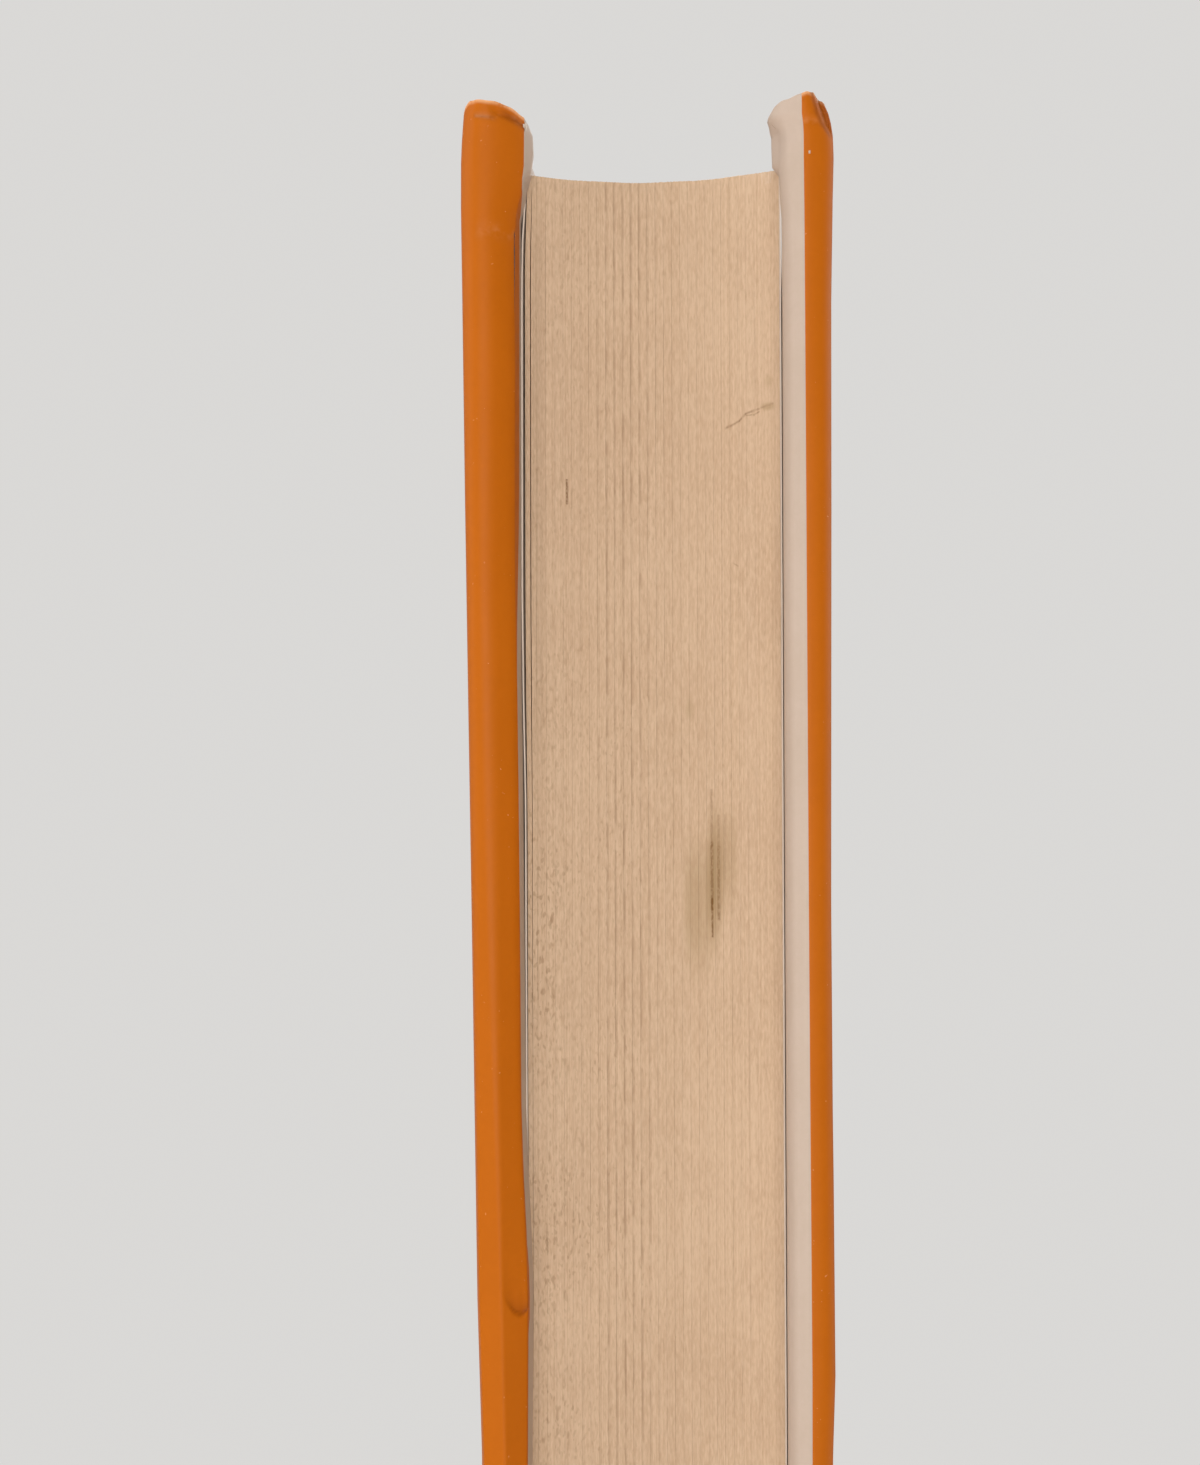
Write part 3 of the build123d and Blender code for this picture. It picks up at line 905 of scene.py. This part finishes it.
stretches = (22, 8, 25, 15, 48, 29, 13)
fold_stops = (0.0, 0.2, 0.5, 0.85, 1.0)
soft_taps = np.linspace(-1, 1, 9)
half_mm = block_half / mm
spine, bridge, panel, lift, fold, turn, flap = (
    slice(stop - count, stop) for count, stop in zip(stretches, np.cumsum(stretches))
)
on_bridge, on_panel, on_lift, on_fold, on_turn, on_flap = (
    np.linspace(0, 1, count + 1)[None, 1:] for count in stretches[1:]
)


def bent(share, corners):
    """A path through the corner points of a fold, each of which may differ with the height."""
    path = corners[0] + 0 * share
    for low, high, first, second in zip(fold_stops, fold_stops[1:], corners, corners[1:]):
        step = (second - first) * np.clip((share - low) / (high - low), 0, 1)
        path = np.where(share > low, first + step, path)
    return path


for cover, shape in fold_shapes.items():
    side = shape["side"]
    rim_start, rim_end = shape["rim"][0][1], shape["rim"][-1][1]
    rise = np.zeros(sum(stretches))
    rise[lift] = rim_start * smooth(on_lift[0], 0.3, 1.0)
    rise[fold] = along(shape["rim"], on_fold[0])
    rise[fold] += 0.05 * np.sin(on_fold[0] * 15 + side) + 0.03 * np.sin(on_fold[0] * 34)
    rise[turn] = rim_end - 0.9 * smooth(on_turn[0], 0.0, 0.7)
    rise[flap] = rim_end - 0.9 - 1.2 * on_flap[0]
    up = z_grid + rise[None, :] * smooth(z_grid, head_slack_from, jacket_head)
    across, back = np.zeros_like(up), np.zeros_like(up)
    # The spine panel, and the bridge over the groove beside it
    angles = np.linspace(0.0, spine_edge_angle, stretches[0])
    across[:, spine] = spine_jacket_out * np.sin(angles)
    back[:, spine] = spine_jacket_out * np.cos(angles) + (spine_centre_y - shoulder_y) / mm
    edge_x, edge_y = across[:, spine][:, -1:], back[:, spine][:, -1:]
    across[:, bridge] = edge_x + (half_mm + jacket_out - edge_x) * on_bridge
    across[:, bridge] -= 0.25 * np.sin(math.pi * on_bridge)
    back[:, bridge] = edge_y + (bridge_y - edge_y) * on_bridge
    # The cover panel, which lifts off the board towards the fold
    across[:, panel] = half_mm + jacket_out
    back[:, panel] = bridge_y + (case_fore + lift_run - bridge_y) * on_panel
    lifted = (along(shape["outer"], up[:, lift]) - jacket_out) * smooth(on_lift, 0, 1)
    across[:, lift] = half_mm + jacket_out + lifted
    back[:, lift] = case_fore + lift_run - (lift_run - fold_lip) * on_lift
    # The fold, from the panel round its ridge to the flap
    at = up[:, fold]
    outer, inner, ridge = along(shape["outer"], at), along(shape["inner"], at), along(shape["ridge"], at)
    depth, soft = along(shape["depth"], at), along(shape["round"], at)
    corner, tuck = shape["corner"], shape["tuck"]
    fold_across = (outer, outer - corner[0], ridge, inner + tuck[0], inner)
    fold_back = (fold_lip, fold_lip - corner[1], fold_lip - depth, fold_lip - tuck[1], flap_lip)
    for tap in soft_taps:
        fold_share = np.clip(on_fold + tap * soft, 0, 1)
        across[:, fold] += bent(fold_share, fold_across) / len(soft_taps)
        back[:, fold] += bent(fold_share, fold_back) / len(soft_taps)
    across[:, fold] += half_mm
    back[:, fold] += case_fore
    # The flap, tucked in behind the board; its free head leans in over the pages
    at = up[:, turn]
    turn_y = case_fore + flap_lip + turn_run * on_turn
    swell = along(shape["bulge"], at) * bell(turn_y, case_fore + 1.8, 3.0) * smooth(on_turn, 0, 0.1)
    inner = along(shape["inner"], at)
    inner += (np.minimum(inner, 0.72) - inner) * smooth(turn_y, case_fore + flap_lip, case_fore + 1.6)
    settle = smooth(turn_y, case_fore + shape["settle"][0], case_fore + shape["settle"][1])
    across[:, turn] = half_mm + inner * (1 - settle) + shape["flap"] * settle - swell
    back[:, turn] = turn_y
    across[:, flap] = half_mm + shape["flap"]
    back[:, flap] = case_fore + flap_lip + turn_run + (flap_width - flap_lip - turn_run) * on_flap
    # Paper never lies dead flat: a slow ripple on the panel, a looser one at the proud head
    outside = smooth(back, 0, -20) * smooth(back, case_fore, case_fore + 30)
    outside[:, fold.start:] = 0
    head_ripple = 0.1 * smooth(up, 234, jacket_head) * np.sin(back * 0.3 + side)
    across += outside * (0.05 * np.sin(back * 0.11 + up * 0.05) + head_ripple)
    share = np.zeros_like(up)
    share[:, fold] = on_fold
    chip = np.zeros(up.shape, bool)
    if cover == "front":
        # A dent in the inner face, a short crease across the fold, and a torn tuck at the head
        dent_z, pinch_z, tear_z, nick_z = 117.7, 224.3, 236.3, 235.9
        dent_foot = dent_z + 1.4 * ((share - 0.76) / 0.2) ** 2
        above = np.clip(up - dent_foot, 0, 9)
        dent_face = smooth(share, 0.5, 0.68) * smooth(share, 0.97, 0.87)
        dent_face = smooth(up, dent_foot - 0.1, dent_foot + 0.12) * dent_face
        dent = np.exp(-above / 1.5) * dent_face * smooth(share, 0.9, 0.76)
        hollow = np.exp(-above / 0.7) * dent_face
        pinch = bell(up, pinch_z, 0.6) * smooth(share, 0.3, 0.5) * (share > 0) * (share < 1)
        tear = bell(up, tear_z - (share - 0.6) / 0.35, 0.35) * smooth(share, 0.5, 0.62) * (share < 1)
        nick = bell(up, nick_z - 0.3 * (share - 0.35) / 0.25, 0.2)
        nick *= smooth(share, 0.3, 0.36) * smooth(share, 0.62, 0.56)
        back += 0.5 * dent + 0.12 * pinch + 0.4 * tear + 0.15 * nick
        # Painted shade in the hollow of the dent, in the torn tuck and in the nick
        dent_shade = hollow * (0.8 + 0.5 * smooth(share, 0.7, 0.84))
        grime = np.maximum(dent_shade, 0.8 * tear * smooth(share, 0.6, 0.7) + 0.6 * nick)
        crease = np.maximum(0.4 * pinch, np.maximum(tear, nick))
    else:
        # A crease below the head, its outer corner bent over, a score lower down and a small chip
        knock_z, score_z, chip_z = 234.6, 130.9, 231.4
        knock = bell(up, knock_z, 0.35) * smooth(share, 0.05, 0.2) * (share < 1)
        ear_line = np.interp(up, (232.6, 233.4, 234.2, 235.3, 238), (0.0, 0.13, 0.225, 0.29, 0.3))
        ear = smooth(ear_line - share, 0.0, 0.16) * (share > 0)
        ear_crease = bell(ear_line, share, 0.04) * (share > 0) * smooth(up, 232.8, 233.6)
        score = bell(up, score_z + 0.4 * share, 0.2) * (share > 0) * smooth(share, 0.5, 0.3)
        back += 0.16 * knock + 0.7 * ear * smooth(share, 0.0, 0.2) + 0.06 * ear_crease + 0.1 * score
        crease = 0.5 * knock + 0.3 * score
        # Painted shade on the bent-over outer corner and along its crease
        grime = np.maximum(0.75 * ear_crease, 0.9 * ear * smooth(up, 232.6, 233.6))
        chip = (np.abs(up - chip_z) < 0.3) & (np.abs(share - 0.43) < 0.02)
    # The sheet gets its thickness inwards, the print outside and the bare reverse inside
    grid = np.stack([middle_x + side * across * mm, shoulder_y + back * mm, up * mm], axis=-1)
    normal = np.cross(np.gradient(grid, axis=1), np.gradient(grid, axis=0))
    normal = normal / np.linalg.norm(normal, axis=-1, keepdims=True)
    if normal[0, panel.stop - 1, 0] * side < 0:
        normal = -normal
    under = grid - normal * jacket_thickness
    rows, columns = grid.shape[:2]
    near, far, rim = slab_faces(rows, columns)
    faces = near + far + rim
    if side > 0:
        faces = [tuple(reversed(quad)) for quad in faces]
    mesh = bpy.data.meshes.new("jacket_" + cover + "_half")
    mesh.from_pydata(np.concatenate([grid.reshape(-1, 3), under.reshape(-1, 3)]).tolist(), [], faces)
    mesh.materials.append(jacket_print)
    mesh.materials.append(jacket_reverse)
    bare = np.ones(len(faces), np.int32)
    bare[:len(near)] = 0
    mesh.polygons.foreach_set("material_index", bare)
    mesh.polygons.foreach_set("use_smooth", np.ones(len(faces), bool))
    mesh.set_sharp_from_angle(angle=math.radians(50))
    # What the finish reads: how far past the print, how near a cut edge, how creased and how much painted
    # shade
    steps = np.linalg.norm(np.diff(grid, axis=1), axis=-1) / mm
    walked = np.concatenate([np.zeros((rows, 1)), np.cumsum(steps, axis=1)], axis=1)
    print_column = fold.start - 1 + along(shape["print"], heights) * stretches[4]
    print_walk = [np.interp(print_column[r], np.arange(columns), walked[r]) for r in range(rows)]
    past_print = np.where(chip, 0.05, walked - np.array(print_walk)[:, None])
    to_ends = np.minimum(z_grid - jacket_tail, jacket_head - z_grid)
    cut_edge = np.minimum(to_ends, walked[:, -1:] - walked)
    facts = {"past_print": past_print, "cut_edge": cut_edge, "crease": crease, "grime": grime}
    for name, values in facts.items():
        paint(mesh, name, np.tile(values.ravel(), 2))
    half = new_piece("jacket_" + cover + "_half", mesh)
    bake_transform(half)
    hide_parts("jacket_" + cover, "jacket_spine")

# Stage: a plain pale floor that sweeps up into a round backdrop, and soft square lamps. The main lamp
# stands close in front of the fore-edge; wide ones fill in from both sides, from behind and from above.
floor_reach, sweep_radius, wall_top, floor_drop = 1.5, 0.6, 2.6, 0.02 * mm
sweep_steps, around = 14, 72
stage_profile = [(floor_reach, 0.0)]
for a in np.linspace(0, math.pi / 2, sweep_steps)[1:]:
    stage_profile.append((floor_reach + sweep_radius * math.sin(a), sweep_radius * (1 - math.cos(a))))
stage_profile.append((floor_reach + sweep_radius, wall_top))
stage_points, stage_faces = [(0.0, 0.0, -floor_drop)], []
for reach, z in stage_profile:
    for k in range(around):
        a = 2 * math.pi * k / around
        stage_points.append((reach * math.cos(a), reach * math.sin(a), z - floor_drop))
for k in range(around):
    stage_faces.append((0, 1 + k, 1 + (k + 1) % around))
for level in range(len(stage_profile) - 1):
    for k in range(around):
        low, high = 1 + level * around, 1 + (level + 1) * around
        after = (k + 1) % around
        stage_faces.append((low + k, high + k, high + after, low + after))
stage_mesh = bpy.data.meshes.new("stage")
stage_mesh.from_pydata(stage_points, [], stage_faces)
stage_mesh.polygons.foreach_set("use_smooth", np.ones(len(stage_faces), bool))
stage = new_piece("stage", stage_mesh)
stage_pale, stage_glow = (0.62, 0.61, 0.6, 1.0), (0.7, 0.69, 0.675, 1.0)
pale, shader, place = finish("pale_stage", Roughness=0.9, Specular_IOR_Level=0.1, Base_Color=stage_pale)
axes = parts_of(place)
floor_place = place_at(axes[0], axes[1])
from_book = vector("LENGTH", floor_place)
plain = scaled(ramp(from_book, 0.14, 0.34), 0.5, 0.5)
tree = pale.node_tree
rays = node(tree, "ShaderNodeLightPath").outputs
mirrored = calc("MAXIMUM", rays["Is Glossy Ray"], rays["Is Transmission Ray"])
seen = times(calc("MAXIMUM", rays["Is Camera Ray"], mirrored), plain)
glow = node(tree, "ShaderNodeEmission", {"Color": stage_glow}).outputs[0]
both = node(tree, "ShaderNodeMixShader", {0: seen, 1: shader.outputs[0], 2: glow}).outputs[0]
tree.links.new(both, tree.nodes["Material Output"].inputs["Surface"])
stage.data.materials.append(pale)
world = bpy.data.worlds.new("studio")
bpy.context.scene.world = world
world.use_nodes = True
world.node_tree.nodes["Background"].inputs["Color"].default_value = (1.0, 0.985, 0.965, 1.0)
world.node_tree.nodes["Background"].inputs["Strength"].default_value = 0.32


def lamp(name, spot, aim, size, power, colour):
    """A soft square lamp that points at a place."""
    light = bpy.data.lights.new(name, "AREA")
    light.size = size
    light.energy = power
    light.color = colour
    body = bpy.data.objects.new(name, light)
    bpy.context.scene.collection.objects.link(body)
    body.location = spot
    body.visible_camera = False
    x, y, z = np.array(spot) - np.array(aim)
    body.rotation_euler = (math.atan2(math.hypot(x, y), z), 0.0, math.atan2(y, x) + math.pi / 2)


warm_white = (1.0, 0.985, 0.965)
lamp("key", (0.01, -0.6, 0.19), (0.0, -0.08, 0.16), 0.3, 2.0, (1.0, 0.98, 0.955))
lamp("left", (-1.0, -0.3, 0.5), (0.0, 0.0, 0.12), 0.8, 4.7, warm_white)
lamp("right", (1.0, 0.42, 0.5), (0.0, 0.0, 0.12), 0.8, 3.7, warm_white)
lamp("back", (0.25, 1.1, 0.6), (0.0, 0.0, 0.12), 0.8, 5.6, warm_white)
lamp("top", (-0.2, 0.2, 1.5), (0.0, 0.0, 0.1), 1.0, 10.5, (1.0, 0.985, 0.97))

# Camera: close in front of the fore-edge and a little to the right, tipped up slightly, so the head of
# the book is seen from below and its lower part runs out of the picture.
picture_height, focal_length = 1465.0, 2300.0
camera_pitch, camera_yaw, camera_roll = 2.0, 4.237, -0.145
lens = bpy.data.cameras.new("camera")
lens.sensor_width = 36.0
lens.lens = lens.sensor_width * focal_length / picture_height
lens.clip_start = 0.01
camera = bpy.data.objects.new("camera", lens)
bpy.context.scene.collection.objects.link(camera)
camera.location = (12.07 * mm, -307.07 * mm, 166.72 * mm)
camera.rotation_mode = "XYZ"
camera.rotation_euler = (math.radians(90 + camera_pitch), 0.0, math.radians(camera_yaw))
rolled = camera.rotation_euler.to_matrix() @ Matrix.Rotation(math.radians(camera_roll), 3, "Z")
camera.rotation_euler = rolled.to_euler()
bpy.context.scene.camera = camera
